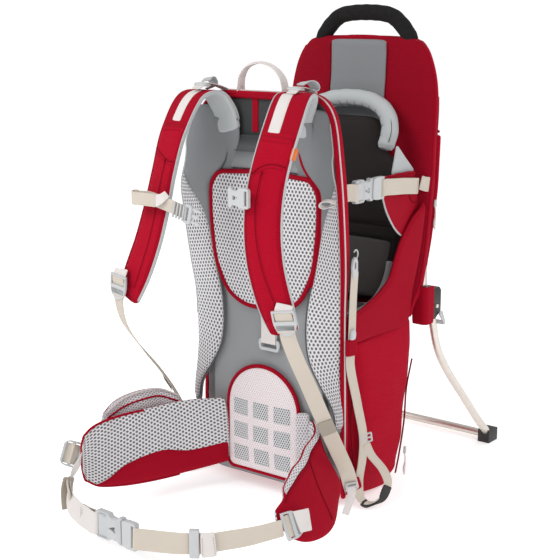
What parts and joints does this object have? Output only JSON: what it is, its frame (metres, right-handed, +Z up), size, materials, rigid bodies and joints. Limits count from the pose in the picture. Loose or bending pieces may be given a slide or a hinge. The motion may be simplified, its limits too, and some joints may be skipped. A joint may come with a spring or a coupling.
{
  "type": "child carrier backpack",
  "caption": "Framed child carrier backpack with tube frame, fold-out stand, child seat, adjustable padded back, hip belt, buckles and foot stirrups.",
  "frame": {"origin": "middle of the flat base of the bag, on the surface that the carrier stands on", "axes": "+X to the wearer's right, +Y away from the wearer towards the stand, +Z up"},
  "size_m": [0.4554, 0.8976, 0.8902],
  "materials": {
    "fabric_red": "matte",
    "fabric_grey": "matte",
    "fabric_dark_grey": "matte",
    "spacer_mesh": "matte",
    "white_mesh": "matte",
    "webbing_cream": "matte",
    "plastic_grey": "satin",
    "plastic_black": "satin",
    "foam_black": "matte",
    "tube_silver": "satin"
  },
  "bodies": {
    "carrier": {"main_frame_tube": "tube_silver", "handle_grip": "foam_black", "rear_panel": "fabric_red", "cargo_bag": "fabric_red", "back_board": "fabric_grey", "edge_trim": "fabric_red", "lumbar_pad": "white_mesh", "hip_pocket_left": "spacer_mesh", "headrest_collar": "fabric_grey", "hip_buckle_socket": "plastic_grey", "seat_back_pad": "fabric_dark_grey", "side_wall_left": "fabric_red", "side_wall_right": "fabric_red", "side_lobe_left": "spacer_mesh", "side_lobe_right": "spacer_mesh", "hip_wing_left": "spacer_mesh", "hip_wing_right": "spacer_mesh", "hip_webbing_left": "webbing_cream", "hip_webbing_right": "webbing_cream", "hip_lock_left": "plastic_grey", "hip_lock_right": "plastic_grey", "lower_webbing_left": "webbing_cream", "lower_webbing_right": "webbing_cream", "side_flap_left": "fabric_red", "side_flap_right": "fabric_red", "wing_socket_left": "plastic_grey", "wing_socket_right": "plastic_grey", "stirrup_hook_left": "plastic_grey", "stirrup_hook_right": "plastic_grey", "hinge_housing_left": "plastic_black", "hinge_housing_right": "plastic_black", "hinge_pin_left": "tube_silver", "hinge_pin_right": "tube_silver"},
    "stand": {"stand_tube": "tube_silver", "stand_foot_left": "plastic_black", "stand_foot_right": "plastic_black"},
    "back_system": {"mid_back_pad": "spacer_mesh", "yoke_panel": "fabric_grey", "back_length_ring": "plastic_grey", "shoulder_strap_left": "fabric_red", "shoulder_strap_right": "fabric_red", "load_lifter_lock_left": "plastic_grey", "load_lifter_lock_right": "plastic_grey"},
    "strap_lock_left": {"strap_lock_left": "plastic_grey"},
    "strap_lock_right": {"strap_lock_right": "plastic_grey"},
    "sternum_left": {"sternum_webbing_left": "webbing_cream", "sternum_prongs": "plastic_grey"},
    "sternum_right": {"sternum_socket": "plastic_grey"},
    "hip_buckle": {"hip_buckle_prongs": "plastic_grey"},
    "hip_slider": {"hip_slider": "plastic_grey"},
    "wing_buckle_left": {"wing_prongs_left": "plastic_grey"},
    "wing_buckle_right": {"wing_prongs_right": "plastic_grey"},
    "stirrup_left": {"stirrup_loop_left": "webbing_cream"},
    "stirrup_right": {"stirrup_loop_right": "webbing_cream"},
    "stand_lock_left": {"stand_lock_left": "plastic_grey"},
    "stand_lock_right": {"stand_lock_right": "plastic_grey"},
    "child_seat": {"seat_pad": "fabric_grey"},
    "grab_loop": {"grab_loop": "webbing_cream"},
    "zip_upper": {"zip_puller_upper": "webbing_cream"},
    "zip_lower": {"zip_puller_lower": "webbing_cream"}
  },
  "joints": [
    {"name": "stand_fold", "type": "hinge", "parent": "carrier", "child": "stand", "pos_m": [0, 0.195, 0.325], "axis": [1, 0, 0], "range_deg": [-30, 0]},
    {"name": "back_length", "type": "slide", "parent": "carrier", "child": "back_system", "axis": [0, 0, 1], "range_m": [-0.02, 0.03], "deforming": ["lower_webbing_left", "lower_webbing_right"]},
    {"name": "strap_lock_tilt_left", "type": "hinge", "parent": "back_system", "child": "strap_lock_left", "pos_m": [-0.187, -0.293, 0.42], "axis": [0.9893, -0.1031, -0.1031], "range_deg": [-20, 0]},
    {"name": "strap_lock_tilt_right", "type": "hinge", "parent": "back_system", "child": "strap_lock_right", "pos_m": [0.148, -0.251, 0.396], "axis": [0.9571, 0.2592, 0.1296], "range_deg": [-20, 0]},
    {"name": "sternum_height_left", "type": "slide", "parent": "back_system", "child": "sternum_left", "axis": [0.0629, 0.3096, 0.9488], "range_m": [-0.02, 0.02]},
    {"name": "sternum_height_right", "type": "slide", "parent": "back_system", "child": "sternum_right", "axis": [0, 0.1903, 0.9817], "range_m": [-0.02, 0.02]},
    {"name": "hip_buckle_release", "type": "slide", "parent": "carrier", "child": "hip_buckle", "axis": [0.9987, -0.0502, 0], "range_m": [0, 0.028]},
    {"name": "hip_slider_travel", "type": "slide", "parent": "carrier", "child": "hip_slider", "axis": [0.8161, 0.5772, 0.0299], "range_m": [-0.008, 0.008]},
    {"name": "wing_buckle_release_left", "type": "slide", "parent": "carrier", "child": "wing_buckle_left", "axis": [0, 1, 0], "range_m": [0, 0.022]},
    {"name": "wing_buckle_release_right", "type": "slide", "parent": "carrier", "child": "wing_buckle_right", "axis": [0, 1, 0], "range_m": [0, 0.022]},
    {"name": "stirrup_swing_left", "type": "hinge", "parent": "carrier", "child": "stirrup_left", "pos_m": [-0.172, -0.088, 0.27], "axis": [0, 1, 0], "range_deg": [0, 25]},
    {"name": "stirrup_swing_right", "type": "hinge", "parent": "carrier", "child": "stirrup_right", "pos_m": [0.172, -0.088, 0.27], "axis": [0, -1, 0], "range_deg": [0, 25]},
    {"name": "stand_lock_release_left", "type": "hinge", "parent": "carrier", "child": "stand_lock_left", "pos_m": [-0.161, 0.208, 0.309], "axis": [1, 0, 0], "range_deg": [0, 15], "stiffness_Nm_per_rad": 0.1},
    {"name": "stand_lock_release_right", "type": "hinge", "parent": "carrier", "child": "stand_lock_right", "pos_m": [0.161, 0.208, 0.309], "axis": [1, 0, 0], "range_deg": [0, 15], "stiffness_Nm_per_rad": 0.1},
    {"name": "seat_height", "type": "slide", "parent": "carrier", "child": "child_seat", "axis": [0, 0, 1], "range_m": [0, 0.03]},
    {"name": "grab_loop_flip", "type": "hinge", "parent": "carrier", "child": "grab_loop", "pos_m": [0, -0.099, 0.745], "axis": [1, 0, 0], "range_deg": [-20, 20], "stiffness_Nm_per_rad": 0.05},
    {"name": "zip_puller_swing_upper", "type": "hinge", "parent": "carrier", "child": "zip_upper", "pos_m": [0.1682, 0.192, 0.517], "axis": [1, 0, 0], "range_deg": [0, 60]},
    {"name": "zip_puller_swing_lower", "type": "hinge", "parent": "carrier", "child": "zip_lower", "pos_m": [0.1677, 0.104, 0.053], "axis": [1, 0, 0], "range_deg": [0, 60]}
  ]
}
